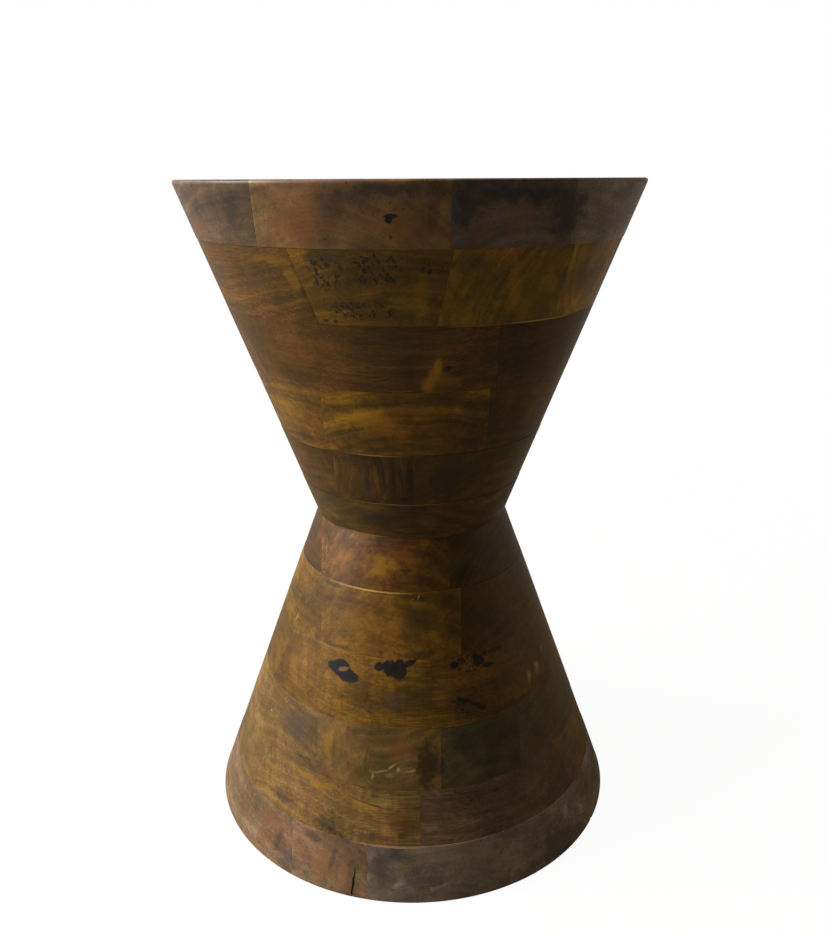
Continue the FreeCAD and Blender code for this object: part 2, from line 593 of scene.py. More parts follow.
# The boards of each layer: tint, depth of stain, pith across and above in mm, ring spacing in
# mm, and the strength of the rings and of the curl
boards = {
    "top": {
        "1": ("plum", 0.88, (35, -60), 6, 0.35, 0.1),
        "2": ("russet", 1.3, (-10, -75), 8, 0.3, 0.1),
        "3": ("stone", 0.9, (15, -60), 7, 0.3, 0.1),
        "4": ("stone", 1.55, (-20, -60), 7, 0.3, 0.1),
    },
    "upper_second": {
        "1a": ("honey", 1.18, (10, -70), 5, 0.4, 0.1),
        "1b": ("tobacco", 0.93, (10, -55), 5, 0.4, 0.1),
        "2": ("straw", 1.42, (50, -10), 7, 0.4, 0.3),
        "3a": ("straw", 2.0, (40, 20), 7, 0.4, 0.2),
        "3b": ("golden", 1.0, (-30, 40), 7, 0.3, 0.3),
        "4": ("tobacco", 1.0, (20, -50), 6, 0.4, 0.1),
    },
    "upper_third": {
        "1a": ("umber", 1.1, (15, -55), 7, 0.4, 0.1),
        "1b": ("tobacco", 1.0, (-15, 60), 6, 0.4, 0.2),
        "2": ("honey", 1.0, (25, -50), 7, 0.3, 0.3),
        "3": ("tobacco", 1.1, (-20, -45), 7, 0.3, 0.1),
        "4a": ("tobacco", 0.9, (0, -80), 9, 0.35, 0.15),
        "4b": ("tobacco", 0.76, (20, 70), 8, 0.3, 0.1),
    },
    "upper_fourth": {
        "1": ("honey", 1.02, (20, -70), 7, 0.5, 0.3),
        "2": ("golden", 1.15, (15, -90), 8, 0.6, 0.3),
        "3": ("olive", 1.05, (-15, -70), 8, 0.4, 0.2),
    },
    "upper_fifth": {
        "1": ("tobacco", 0.75, (25, -50), 7, 0.4, 0.2),
        "2": ("tobacco", 0.84, (-60, 5), 5.5, 0.5, 0.1),
        "3": ("olive", 1.05, (20, -60), 8, 0.3, 0.1),
    },
    "upper_waist": {
        "1": ("umber", 1.1, (10, -50), 6, 0.4, 0.1),
        "2": ("tobacco", 0.9, (-15, 40), 7, 0.3, 0.2),
        "3": ("umber", 1.2, (-5, 45), 6, 0.5, 0.1),
    },
    "lower_waist": {
        "1": ("tobacco", 0.5, (10, -50), 6, 0.3, 0.3),
        "2": ("amber", 0.9, (10, -70), 7, 0.3, 0.7),
        "3": ("olive", 0.66, (30, -25), 6, 0.5, 0.1),
    },
    "lower_second": {
        "1": ("golden", 0.9, (10, -55), 7, 0.3, 0.3),
        "2": ("golden", 0.95, (-10, -95), 9, 0.3, 0.4),
        "3": ("olive", 0.86, (20, -60), 8, 0.3, 0.2),
    },
    "lower_third": {
        "1a": ("umber", 1.1, (10, -50), 6, 0.4, 0.1),
        "1b": ("honey", 0.95, (-15, 55), 7, 0.3, 0.3),
        "2": ("honey", 1.05, (15, -60), 7, 0.3, 0.2),
        "3a": ("honey", 1.1, (0, -75), 8, 0.35, 0.3),
        "3b": ("honey", 0.86, (10, 65), 7, 0.3, 0.2),
    },
    "lower_fourth": {
        "1": ("khaki", 1.05, (15, -55), 7, 0.4, 0.2),
        "2": ("khaki", 1.08, (45, 5), 6, 0.2, 0.3),
        "3": ("khaki", 0.95, (-15, 75), 8, 0.4, 0.1),
        "4": ("drab", 0.85, (10, -70), 8, 0.3, 0.1),
        "5": ("drab", 0.92, (20, -60), 7, 0.3, 0.1),
    },
    "lower_fifth": {
        "1a": ("tobacco", 1.0, (10, -60), 7, 0.3, 0.2),
        "1b": ("russet", 0.9, (-10, -60), 7, 0.3, 0.2),
        "2": ("plum", 0.95, (20, -50), 7, 0.4, 0.1),
        "3": ("khaki", 1.3, (15, -60), 7, 0.3, 0.2),
        "4a": ("khaki", 1.18, (0, -60), 7, 0.5, 0.3),
        "4b": ("plum", 1.0, (15, 60), 8, 0.3, 0.1),
    },
    "base": {
        "1": ("plum", 1.45, (15, -60), 8, 0.3, 0.1),
        "2": ("plum", 1.85, (-15, -70), 8, 0.3, 0.2),
        "3": ("ash", 1.35, (10, -80), 9, 0.3, 0.1),
        "4": ("stone", 1.45, (-15, -60), 8, 0.3, 0.1),
    },
}
boardOf = {name: boards[layerOf[name]][name.rsplit("_", 1)[1]] for name in boardNames}

# Marks that the wood, the stain and use have left, layer by layer, with painted shade and highlights among
# them:
# shade on the lower cone where it turns from the light, dark in the crack, and pale lines on the seam
# ledges.
# A wash lies on every board that it reaches, and the others stay on the board that holds their middle.
marksOf = {
    "top": [
        mark(-42, 439, 10, 14, "slate", 0.6, edge=0.8),
        mark(-60, 447, 20, 7, "mauve", 0.35),
        mark(-60, 432, 14, 8, "rust", 0.25),
        wash(-33, 451, 14, 4, "mauve", 0.45),
        mark(-25, 436, 24, 14, "rust", 0.4),
        mark(-2, 434, 20, 9, "rust", 0.35),
        mark(-12, 447, 24, 7, "mauve", 0.48, edge=0.8),
        mark(-17, 441, 6, 7, "mauve", 0.4, edge=0.8),
        wash(-4, 452, 34, 6, "navy", 0.65),
        wash(11, 442, 8, 16, "navy", 0.65),
        mark(4, 440, 8, 12, "shade", 0.35),
        mark(-3.8, 439, 4.4, 1.6, "spalt", 0.95, edge=0.4),
        mark(-4.3, 437, 2.4, 2.2, "spalt", 0.95, edge=0.4),
        mark(-4.0, 428.4, 1.3, 1.7, "spalt", 0.7, edge=0.6),
        wash(24, 449, 46, 8, "navy", 0.8, edge=0.8),
        wash(36, 439, 16, 20, "navy", 0.8),
        mark(23, 438, 11, 14, "heart", 0.4),
        mark(15, 431, 12, 7, "rust", 0.15),
        mark(54, 449, 28, 6, "navy", 0.55, edge=0.8),
        mark(55, 433, 16, 9, "mauve", 0.4),
    ],
    "upper_second": [
        mark(-58, 403, 16, 12, "mauve", 0.3),
        mark(-34, 415, 16, 3, "gold", 0.25),
        mark(-29, 404, 6.5, 12, "gold", 0.25),
        mark(-41, 400, 14, 3, "mauve", 0.4),
        mark(-38, 389.4, 20, 0.9, "shade", 0.65, ragged=0.5, edge=0.8, tilt=7),
        mark(-34, 386.4, 16, 0.8, "shade", 0.6, ragged=0.5, edge=0.8, tilt=12),
        mark(-37, 393, 16, 0.7, "shade", 0.5, ragged=0.5, edge=0.8, tilt=8),
        mark(-31, 395.3, 10, 0.7, "shade", 0.5, ragged=0.5, edge=0.8, tilt=16),
        mark(-39, 384, 14, 0.8, "shade", 0.5, ragged=0.5, edge=0.8, tilt=4),
        mark(-13, 409, 32, 12, "shade", 0.4),
        mark(-20, 418, 20, 4, "slate", 0.6, ragged=0.6, edge=0.7),
        mark(-23, 396, 9, 6, "moss", 0.4),
        mark(-11, 388, 20, 5, "shade", 0.4),
        mark(2.5, 396, 6.5, 17, "gold", 0.35),
        mark(-3, 395, 14, 3, "gold", 0.3),
        mark(-20, 409.5, 13, 9, "spalt", 0.85, edge=0.3, specks=True),
        mark(-8, 411.5, 16, 11, "spalt", 0.85, edge=0.3, specks=True),
        mark(5, 412, 8, 4, "spalt", 0.75, edge=0.4, specks=True),
        mark(-12, 388.4, 22, 6, "spalt", 0.85, edge=0.3, specks=True),
        mark(-22.3, 381.8, 2.4, 1.2, "spalt", 0.85, edge=0.5),
        mark(-19.5, 381.8, 1.8, 1.2, "spalt", 0.75, edge=0.5),
        wash(13, 414, 12, 7, "slate", 0.45),
        mark(13, 394, 5, 5, "moss", 0.5),
        mark(21.5, 398, 5, 9, "moss", 0.5),
        mark(26, 403, 6.5, 16, "gold", 0.35, tilt=-10),
        mark(32, 399, 6.5, 12, "moss", 0.25, tilt=-8),
        mark(37, 402, 8, 12, "gold", 0.35, tilt=-8),
        wash(56, 401, 32, 16, "mauve", 0.5),
    ],
    "upper_third": [
        wash(-60, 360, 18, 14, "mauve", 0.25),
        mark(-12, 372, 28, 8, "shade", 0.4),
        mark(0, 357, 14, 14, "shade", 0.35),
        mark(-34, 355, 22, 10, "rust", 0.12),
        mark(-31, 351, 6, 0.8, "soot", 0.5, ragged=0.5, edge=0.7),
        mark(-27, 346, 5, 0.8, "soot", 0.45, ragged=0.5, edge=0.7),
        mark(-36, 358.5, 5, 0.8, "soot", 0.4, ragged=0.5, edge=0.7),
        mark(7.8, 355, 3.6, 7, "flame", 0.55, ragged=0.5),
        mark(7.0, 350, 5.2, 8, "flame", 0.55, ragged=0.5, edge=0.9),
        mark(5.2, 343, 5.9, 8, "flame", 0.55, ragged=0.6, edge=0.9),
        mark(9, 345, 12, 8, "gold", 0.4, edge=0.9),
        mark(11, 369.5, 9, 6, "moss", 0.5),
        mark(10.9, 353.2, 2.6, 2.8, "soot", 0.9, ragged=0.8, edge=0.6),
        mark(14, 350, 6, 3, "soot", 0.45, edge=0.8),
        mark(1, 358, 3, 6, "moss", 0.45),
        wash(31, 360, 22, 20, "soot", 0.6, ragged=0.8, edge=1.0),
        mark(55, 359, 10, 8, "slate", 0.45),
        wash(24, 359, 18, 24, "shade", 0.45, edge=1.0),
        # pale lines on the seam ledge above: a painted highlight on the edge of the proud board
        mark(16, 378.9, 20, 0.7, "wear", 0.3, ragged=0.3),
        wash(38, 378.9, 44, 0.8, "wear", 0.6, ragged=0.3),
    ],
    "upper_fourth": [
        wash(-50, 321, 34, 9, "gold", 0.3, edge=0.9),
        mark(-44, 332, 10, 4, "shade", 0.3),
        wash(-42, 300, 26, 2.5, "shade", 0.45),
        mark(-14, 318, 38, 11, "flame", 0.35, edge=0.9, tilt=-4),
        mark(-17, 322, 17, 5, "flame", 0.25, edge=0.9, tilt=-6),
        wash(-24, 330, 16, 3, "gold", 0.35, tilt=-6),
        mark(-8, 310, 22, 5, "gold", 0.3),
        mark(-8, 330, 26, 1.8, "shade", 0.5, ragged=0.7, edge=0.8, tilt=-6),
        mark(-12, 298, 26, 3, "shade", 0.4),
        mark(5, 300, 8, 4.5, "moss", 0.7, edge=0.8),
        wash(23, 301, 14, 9, "shade", 0.65),
        wash(21, 326, 12, 10, "shade", 0.6),
        wash(27, 316, 20, 26, "shade", 0.65, edge=1.0),
        mark(-24, 317, 2.5, 0.8, "soot", 0.5, edge=0.6),
        mark(-19, 311, 2.2, 0.8, "soot", 0.5, edge=0.6),
        mark(-15, 305, 2.5, 0.8, "soot", 0.4, edge=0.6),
        mark(40, 317, 16, 14, "shade", 0.35),
        mark(56, 305, 10, 6, "moss", 0.35),
    ],
    "upper_fifth": [
        mark(-47, 267, 6.5, 4.2, "slate", 0.75, edge=0.8),
        mark(-58, 283, 14, 6, "rust", 0.2),
        wash(-26, 288, 9, 4.5, "slate", 0.6),
        mark(-18, 291.5, 13, 2, "soot", 0.55, edge=0.8),
        mark(-19.5, 271, 2.6, 13, "slate", 0.85, ragged=0.7, edge=0.7),
        mark(-15, 275, 2.4, 14, "gold", 0.2, ragged=0.7),
        mark(-11.5, 275, 1.4, 17, "spalt", 0.6, ragged=0.7, edge=0.8, tilt=-3),
        mark(-7.6, 276, 1.1, 16, "spalt", 0.6, ragged=0.7, edge=0.8, tilt=-3),
        mark(-5.8, 274, 1.2, 14, "moss", 0.5, ragged=0.7, edge=0.8, tilt=-3),
        mark(-4.2, 277, 1.3, 17, "spalt", 0.75, ragged=0.7, edge=0.8, tilt=-3),
        mark(-0.6, 277, 2.6, 19, "spalt", 0.85, ragged=0.7, edge=0.8, tilt=-3),
        mark(-3, 260.5, 6, 2.6, "spalt", 0.75, edge=0.7),
        mark(6, 280, 6, 12, "moss", 0.3),
        wash(18, 275, 24, 24, "shade", 0.7, edge=1.0),
        mark(41, 280.5, 13, 3, "rust", 0.5),
        mark(40, 285, 16, 2, "moss", 0.5),
        mark(58, 266, 8, 4, "rust", 0.3),
        # pale lines on the seam ledge at the top of this layer: a painted highlight on its proud edge
        mark(-45, 293.6, 24, 0.8, "wear", 0.3, ragged=0.3, edge=0.8),
        mark(-14, 293.6, 26, 0.8, "wear", 0.45, ragged=0.3, edge=0.8),
    ],
    "upper_waist": [
        mark(-22, 252, 18, 4, "gold", 0.22, edge=0.9),
        mark(-20, 245, 9, 4.5, "slate", 0.6),
        mark(1, 253, 12, 3, "soot", 0.55, edge=0.8, tilt=-4),
        mark(9, 241, 12, 8, "gold", 0.2, edge=0.9),
        mark(-46, 238, 16, 5, "gold", 0.22, edge=0.9),
        mark(48, 251, 18, 4, "gold", 0.3, edge=0.9),
        mark(-18, 243, 16, 14, "shade", 0.5, edge=1.0),
        mark(-12, 234, 12, 3, "mauve", 0.35),
        # pale lines on the seam ledges at the top and the foot of this layer: painted highlights
        mark(-5, 256.2, 50, 0.8, "wear", 0.25, ragged=0.3, edge=0.8),
        mark(-30, 228.6, 26, 0.9, "wear", 0.45, ragged=0.5),
    ],
    "lower_waist": [
        mark(-62, 216, 9, 5, "rust", 0.35),
        wash(-12, 226, 30, 3, "shade", 0.6),
        mark(-38, 209, 22, 12, "flame", 0.16, edge=0.9),
        mark(-53, 212, 0.8, 9, "wear", 0.22, tilt=-24),
        # painted shade: darker at the front right, where the lower cone turns away from the light
        mark(8, 211, 14, 22, "shade", 0.45, edge=0.9),
        # painted shade on the right side of the waist, where the light falls away
        wash(52, 211, 18, 24, "shade", 0.6, edge=1.0),
        mark(-15, 209, 13, 12, "flame", 0.3, edge=0.9),
        mark(-3, 208, 6, 1.8, "soot", 0.65, edge=0.7),
        mark(-9, 202, 3, 1.0, "soot", 0.45, edge=0.7),
        mark(-36, 199, 14, 4, "rust", 0.2),
        wash(18, 212, 8, 16, "moss", 0.3),
        # painted shade over the waist's right edge, which also dulls its sheen
        mark(50, 211, 20, 28, "soot", 0.75, edge=1.0),
        mark(30, 204, 11, 8, "soot", 0.4),
        mark(56, 208, 9, 8, "rust", 0.15),
    ],
    "lower_second": [
        wash(-41, 191.5, 14, 2.4, "slate", 0.75, edge=0.8),
        mark(-24, 172, 26, 13, "gold", 0.2, ragged=0.8, edge=1.0),
        mark(2, 190.6, 10, 3.6, "soot", 0.8, edge=0.8),
        mark(-16, 192.5, 14, 1.2, "soot", 0.4, edge=0.7),
        mark(2, 180, 10, 6, "moss", 0.35),
        wash(19, 173, 14, 24, "shade", 0.5, edge=1.0),
        # painted shade: darker at the front right, where the lower cone turns away from the light
        mark(3, 172, 18, 26, "shade", 0.48, edge=1.0),
        mark(1, 154.5, 24, 5, "soot", 0.65, ragged=1.3, edge=0.9),
        mark(-32, 154, 18, 1.6, "shade", 0.55, edge=0.7),
        mark(36, 186, 16, 7, "moss", 0.35),
        mark(40, 172, 18, 26, "shade", 0.5, edge=1.0),
        mark(-61, 157, 1.3, 4, "scuff", 0.2, ragged=1.4, edge=0.8, tilt=20),
        mark(-53, 150.6, 1.6, 1.0, "scuff", 0.45, edge=0.7),
        mark(3, 191, 0.7, 2.4, "scuff", 0.28, edge=0.7, tilt=20),
        # a pale line on the seam ledge at the top of this layer: a painted highlight
        mark(-20, 193.4, 40, 0.8, "wear", 0.7, ragged=0.3, edge=0.8),
    ],
    "lower_third": [
        mark(-7, 126, 12, 7, "mauve", 0.5),
        mark(-36, 142, 8, 2.4, "mauve", 0.4),
        mark(-28.5, 139.8, 13.5, 4.6, "spalt", 0.96, ragged=0.35, edge=0.2, tilt=8),
        mark(-28.6, 142.6, 8, 4.6, "spalt", 0.96, ragged=0.35, edge=0.2, tilt=4),
        mark(-25.6, 137.2, 9.5, 4.8, "spalt", 0.96, ragged=0.35, edge=0.2, tilt=8),
        mark(-27.6, 140.6, 5.6, 1.8, "heart", 0.9, ragged=0.9, edge=0.5, tilt=-20),
        mark(-13, 146.4, 3.8, 3.4, "spalt", 0.95, ragged=0.6, edge=0.3),
        mark(-8.6, 146.2, 6.0, 6.0, "spalt", 0.97, ragged=1.3, edge=0.3),
        mark(-4.8, 145.6, 6.0, 8.0, "spalt", 0.97, ragged=1.5, edge=0.3),
        mark(-1, 149.8, 5.5, 2.4, "spalt", 0.95, ragged=1.3, edge=0.4, tilt=-24),
        mark(-15, 117, 5, 1.3, "soot", 0.6, edge=0.7, tilt=10),
        mark(-17, 124, 1.0, 7, "soot", 0.4, ragged=0.6, edge=0.8, tilt=14),
        mark(-21, 120, 8, 0.6, "soot", 0.35, ragged=0.5, edge=0.8, tilt=20),
        mark(-9, 122, 7, 0.6, "soot", 0.4, ragged=0.5, edge=0.8, tilt=8),
        mark(25, 146, 22, 7, "spalt", 0.9, edge=0.3, specks=True),
        mark(16.5, 146.5, 5, 2.2, "spalt", 0.85, ragged=1.5, edge=0.5),
        mark(27, 146.5, 6, 5, "spalt", 0.92, ragged=1.7, edge=0.4),
        mark(31, 141.5, 6, 2, "spalt", 0.85, ragged=1.5, edge=0.5, tilt=14),
        mark(37, 149, 10, 1.8, "spalt", 0.75, ragged=1.4, edge=0.6),
        mark(18, 123.5, 6, 2.6, "spalt", 0.85, ragged=1.6, edge=0.5, tilt=22),
        mark(24.5, 118, 7, 2.0, "spalt", 0.8, ragged=1.5, edge=0.6, tilt=26),
        mark(19, 119, 14, 6, "spalt", 0.8, edge=0.4, specks=True, tilt=20),
        mark(38, 112, 24, 4, "shade", 0.45),
        wash(62, 138, 14, 10, "moss", 0.3),
        # painted shade: two washes darker at the front right, where the lower cone turns away from the light
        wash(0, 130, 20, 30, "shade", 0.72, edge=1.0),
        wash(7, 130, 14, 30, "shade", 0.5, edge=1.0),
        mark(-22, 128, 14, 24, "shade", 0.25, edge=1.0),
        mark(50, 121, 3.4, 6, "scuff", 0.34, ragged=1.8, edge=0.9, tilt=20),
        mark(56.5, 123, 4.5, 7, "scuff", 0.3, ragged=1.8, edge=0.9, tilt=30),
        mark(64, 130, 4, 2.4, "scuff", 0.18, ragged=1.8, edge=0.9, tilt=-26),
        mark(53, 120, 2.6, 2.6, "rust", 0.45, edge=0.8),
    ],
    "lower_fourth": [
        mark(-42, 92, 26, 16, "mauve", 0.5),
        mark(-44, 104, 16, 1.2, "shade", 0.4, ragged=0.8, edge=0.8, tilt=8),
        mark(-38, 76, 14, 1.4, "shade", 0.4, ragged=0.8, edge=0.8, tilt=-4),
        mark(-59, 89, 1.4, 1.0, "scuff", 0.35, edge=0.7),
        wash(-29, 92, 5, 14, "gold", 0.35),
        wash(-17, 104, 14, 3, "shade", 0.45),
        mark(-15, 90, 1.0, 12, "soot", 0.4, ragged=0.8, edge=0.8, tilt=6),
        mark(-4, 96, 14, 9, "rust", 0.25),
        # painted shade: darker at the front right, where the lower cone turns away from the light
        wash(5, 86, 12, 20, "shade", 0.75),
        wash(17, 97, 13, 10, "slate", 0.65),
        wash(34, 94, 26, 12, "shade", 0.45, edge=1.0),
        wash(34, 80, 20, 5, "moss", 0.3, edge=1.0),
        wash(45, 89, 13, 22, "shade", 0.4, edge=1.0),
        mark(-6.6, 84.6, 5.5, 1.2, "scuff", 0.42, ragged=1.8, edge=1.0, tilt=-34),
        mark(-4.6, 82.4, 1.6, 3.6, "scuff", 0.34, ragged=1.8, edge=1.0, tilt=20),
        mark(-0.4, 82.4, 7.5, 1.1, "scuff", 0.36, ragged=1.8, edge=1.0, tilt=-10),
        mark(-9.8, 81, 7, 1.0, "scuff", 0.28, ragged=1.8, edge=1.0, tilt=-14),
        mark(-12.5, 77.4, 1.2, 3.6, "scuff", 0.3, ragged=1.8, edge=1.0),
        mark(-7.5, 78.6, 5, 3, "scuff", 0.12, ragged=2.2, edge=1.0),
        # painted shade, likewise, where the lower cone turns away from the light
        wash(4, 88, 16, 24, "shade", 0.5, edge=1.0),
    ],
    "lower_fifth": [
        wash(-62, 54, 18, 10, "mauve", 0.25),
        wash(-34, 65, 34, 3, "gold", 0.45, tilt=6),
        mark(-14, 58, 22, 2.6, "gold", 0.4, tilt=12),
        mark(-14, 60, 22, 0.7, "shade", 0.5, ragged=0.6, edge=0.8, tilt=10),
        mark(-26, 41, 11, 4.5, "slate", 0.5),
        wash(-42, 44, 18, 5, "mauve", 0.45),
        mark(-10, 39, 18, 3, "mauve", 0.5),
        wash(-3, 51, 10, 7, "rust", 0.4),
        wash(-3, 42, 5, 3, "shade", 0.6),
        # painted shade: darker at the front, where the lower cone turns away from the light
        wash(-1, 52, 20, 26, "shade", 0.6, edge=1.0),
        wash(32, 50, 30, 12, "mauve", 0.2, edge=1.0),
        mark(26, 62, 3, 2, "soot", 0.35, edge=0.8),
        wash(50, 46, 16, 8, "moss", 0.3),
        wash(62, 52, 34, 26, "steel", 0.45, edge=1.0),
        mark(46.5, 62, 0.7, 5, "scuff", 0.14),
        # painted shade, likewise, at the front right
        wash(8, 51, 12, 26, "shade", 0.35, edge=1.0),
    ],
    "base": [
        wash(-64, 18, 30, 14, "shade", 0.2),
        wash(-44, 26, 20, 9, "rust", 0.3),
        wash(-46, 12, 14, 9, "rust", 0.3),
        wash(-35.5, 8, 9, 7, "steel", 0.6),
        mark(-29, 30, 14, 6, "mauve", 0.65),
        mark(-25, 16, 13, 13, "copper", 0.4),
        mark(-18.5, 13, 5.5, 14, "copper", 0.45),
        wash(-8, 15, 14, 22, "mauve", 0.55, edge=0.9),
        mark(-22, 21, 3, 12, "mauve", 0.55, tilt=12),
        # painted shade: a dark line that darkens the inside of the drying crack
        mark(-15.6, 8, 1.3, 12, "soot", 0.85, ragged=0.5, tilt=4),
        wash(-4, 30, 18, 7, "navy", 0.6, edge=0.9),
        mark(-9, 22, 9, 12, "slate", 0.4),
        wash(4, 14, 26, 12, "mauve", 0.5),
        wash(27, 17, 22, 17, "scuff", 0.22, edge=1.0),
        wash(43, 12, 22, 14, "steel", 0.75),
        wash(40, 26, 16, 8, "mauve", 0.4),
        wash(62, 24, 18, 9, "moss", 0.35),
        mark(-4, 11, 6, 2.4, "scuff", 0.22, ragged=1.8, tilt=-20),
        mark(7, 9, 9, 2.2, "scuff", 0.18, ragged=1.8, tilt=-10),
        mark(50, 24, 4, 9, "scuff", 0.34, ragged=1.8, tilt=30),
        mark(57, 16, 4, 8, "scuff", 0.3, ragged=1.8, tilt=-30),
        # pale lines on the seam ledge at the top of the base: painted highlights
        wash(-6, 34.4, 34, 0.8, "wear", 0.6, ragged=0.3, edge=0.8),
        mark(12, 34.4, 24, 0.7, "wear", 0.3, ragged=0.3, edge=0.8),
    ],
}

# Kinds of mark on the sides, faces and board ends that the front doesn't show: colour, half
# width and half height in mm, strength, and whether it is a field of specks
chanceMarks = (
    ("slate", 13, 7, 0.50, False),
    ("mauve", 15, 7, 0.40, False),
    ("rust", 14, 6, 0.30, False),
    ("gold", 16, 5, 0.35, False),
    ("moss", 14, 8, 0.35, False),
    ("shade", 22, 1.2, 0.50, False),
    ("soot", 4, 1.4, 0.60, False),
    ("spalt", 5, 3, 0.90, False),
    ("spalt", 14, 8, 0.90, True),
    ("scuff", 4, 0.9, 0.35, False),
)
chance = {
    "perLayer": 11,           # marks round the unseen sides of a layer
    "perFace": 12,            # and on the top face and the underside
    "unseenFrom": 74,         # degrees round from the front
    "unseenTo": 286,
    "sizes": (0.6, 1.3),      # how much smaller or larger than its kind a mark may be
    "tilts": (-12, 12),       # in degrees
}
markDepth = 30 * mm           # how far a mark reaches into the wood


def markPlace(spot):
    up = spot["up"] * mm
    out = turnedRadius(up) if spot["out"] is None else spot["out"] * mm
    return outwardAt(spot["around"]) * out + Vector((0, 0, up))


def reaches(spot, name):
    # whether a mark lies on a board: with its middle, or if it crosses seams with its edge
    return holds(name, markPlace(spot), spot["wide"] * mm if spot["crosses"] else 0)


def scatterMarks(layer, dice, count, up=None):
    # marks round the unseen sides of a layer, or all over its face where a height is given
    low, high = (corner.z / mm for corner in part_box(layer + "_board_2"))
    for _ in range(count):
        colour, wide, tall, strength, specks = dice.choice(chanceMarks)
        size = dice.uniform(*chance["sizes"])
        tilt = dice.uniform(*chance["tilts"])
        if up is None:
            out = None
            around = dice.uniform(chance["unseenFrom"], chance["unseenTo"])
            height = dice.uniform(low, high)
        else:
            out = turnedRadius(up) / mm * math.sqrt(dice.random())
            around = dice.uniform(0, 360)
            height = up / mm
            tall = wide
        marksOf[layer].append(mark(around, height, wide * size, tall * size, colour, strength, tilt=tilt,
                                   specks=specks, out=out))


for layer in marksOf:
    scatterMarks(layer, random.Random(layer), chance["perLayer"])
scatterMarks("top", random.Random("table top"), chance["perFace"], up=tableHeight)
scatterMarks("base", random.Random("underside"), chance["perFace"], up=0)


def stepped(tree, grain, steps):
    # the same place, counted in a pattern's steps across the grain and along it
    return vectorMaths(tree, "MULTIPLY", grain, (1 / steps[0], 1 / steps[1], 1 / steps[0]))


def streaks(tree, grain, steps, **detail):
    # noise drawn out along the grain
    return addNode(tree, "ShaderNodeTexNoise", {"Vector": stepped(tree, grain, steps), "Scale": 1, **detail})


def patches(tree, place, size, **detail):
    # noise in patches of one size, in millimetres, whichever way the grain runs
    return addNode(tree, "ShaderNodeTexNoise", {"Vector": place, "Scale": 1 / (size * mm), **detail})


def centred(tree, texture, depth):
    # the colours of a noise as a push either way, up to half the depth
    return vectorMaths(tree, "MULTIPLY_ADD", texture.outputs["Color"], (depth,) * 3, (-depth / 2,) * 3)


def dots(tree, vector, spread, before, after=(0, 1), **settings):
    # a dot in each step of a pattern, no two of one size, and in some steps none
    cells = addNode(tree, "ShaderNodeTexVoronoi", {"Vector": vector, "Scale": 1}, **settings)
    bare = maths(tree, "MULTIPLY_ADD", cells.outputs["Color"], spread, cells.outputs["Distance"])
    return remapped(tree, bare, before, after)


def placeMark(tree, place, spot, frays, below):
    # lays one mark over the colour below it, soft or speckled, and returns the new colour
    size = (spot["wide"] * mm, markDepth, spot["high"] * mm)
    ragged = (spot["ragged"], 0, spot["ragged"])
    turn = math.pi / 2
    if spot["out"] is not None:  # on a flat face a mark reaches down instead of in
        size = (size[0], size[2], size[1])
        ragged = (ragged[0], ragged[2], ragged[1])
        turn = 0
    local = addNode(tree, "ShaderNodeMapping", {
        "Vector": place,
        "Location": markPlace(spot),
        "Rotation": (0, math.radians(spot["tilt"]), math.radians(spot["around"])),
        "Scale": size,
    }, vector_type="TEXTURE").outputs[0]
    frayed = vectorMaths(tree, "MULTIPLY_ADD", frays, ragged, local)
    ball = addNode(tree, "ShaderNodeTexGradient", {"Vector": frayed}, gradient_type="SPHERICAL")
    share = remapped(tree, ball.outputs["Fac"], (0, spot["edge"]), (0, spot["strength"]), "SMOOTHSTEP")
    if spot["specks"]:
        flat = addNode(tree, "ShaderNodeMapping", {
            "Vector": frayed,
            "Rotation": (turn, 0, 0),
            "Scale": (spot["wide"] / figure["specks"][0], 0, spot["high"] / figure["specks"][1]),
        }).outputs[0]
        dark = dots(tree, flat, figure["speckSpread"], figure["speckRim"], voronoi_dimensions="2D")
        share = maths(tree, "MULTIPLY", share, dark)
    return blended(tree, share, below, linear(marks[spot["colour"]]))


def grainOf(tree, name, place, lay):
    # where in its tree the wood grew, in millimetres across, along and above the pith
    pith = boardOf[name][2]
    low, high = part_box(name)
    centre = (low + high) / 2 / mm
    acrossCentre = centre.x * math.cos(lay) + centre.y * math.sin(lay)
    alongShift = random.Random(name).uniform(-figure["apart"], figure["apart"])
    straight = addNode(tree, "ShaderNodeMapping", {
        "Vector": place,
        "Location": (-acrossCentre - pith[0], alongShift, -centre.z - pith[1]),
        "Rotation": (0, 0, -lay),
        "Scale": (1 / mm,) * 3,
    }).outputs[0]
    stray = streaks(tree, straight, figure["wanders"], Detail=3)
    wander = (2 * figure["wander"], 0, 2 * figure["wander"])
    return vectorMaths(tree, "MULTIPLY_ADD", stray.outputs["Color"], wander, straight)


def stainTone(tree, name, place, grain, fibres, clouds):
    # how dark or light the board's own figure takes the stain
    ringGap, ringShare, curlShare = boardOf[name][3:]
    fromPith = vectorMaths(tree, "MULTIPLY", grain, (1 / ringGap, 0, 1 / ringGap))
    rings = addNode(tree, "ShaderNodeTexNoise", {
        "W": vectorMaths(tree, "LENGTH", fromPith), "Scale": 1, "Detail": 4, "Roughness": 0.65,
    }, noise_dimensions="1D")
    curl = streaks(tree, grain, figure["curl"], Detail=3, Roughness=0.6)
    bands = streaks(tree, grain, figure["bands"], Detail=4)
    mottle = patches(tree, place, figure["mottle"], Detail=3, Roughness=0.7)
    parts = [
        (bands.outputs["Fac"], toneShares["bands"]),
        (fibres, toneShares["fibres"]),
        (rings.outputs["Fac"], toneShares["rings"] * ringShare),
        (curl.outputs["Fac"], toneShares["curl"] * curlShare),
        (mottle.outputs["Fac"], toneShares["mottle"] + toneShares["curlyMottle"] * curlShare),
        (clouds.outputs["Fac"], toneShares["clouds"]),
    ]
    tone = 0.5 - sum(share for _, share in parts) / 2
    for texture, share in parts:
        tone = maths(tree, "MULTIPLY_ADD", texture, share, tone)
    return tone


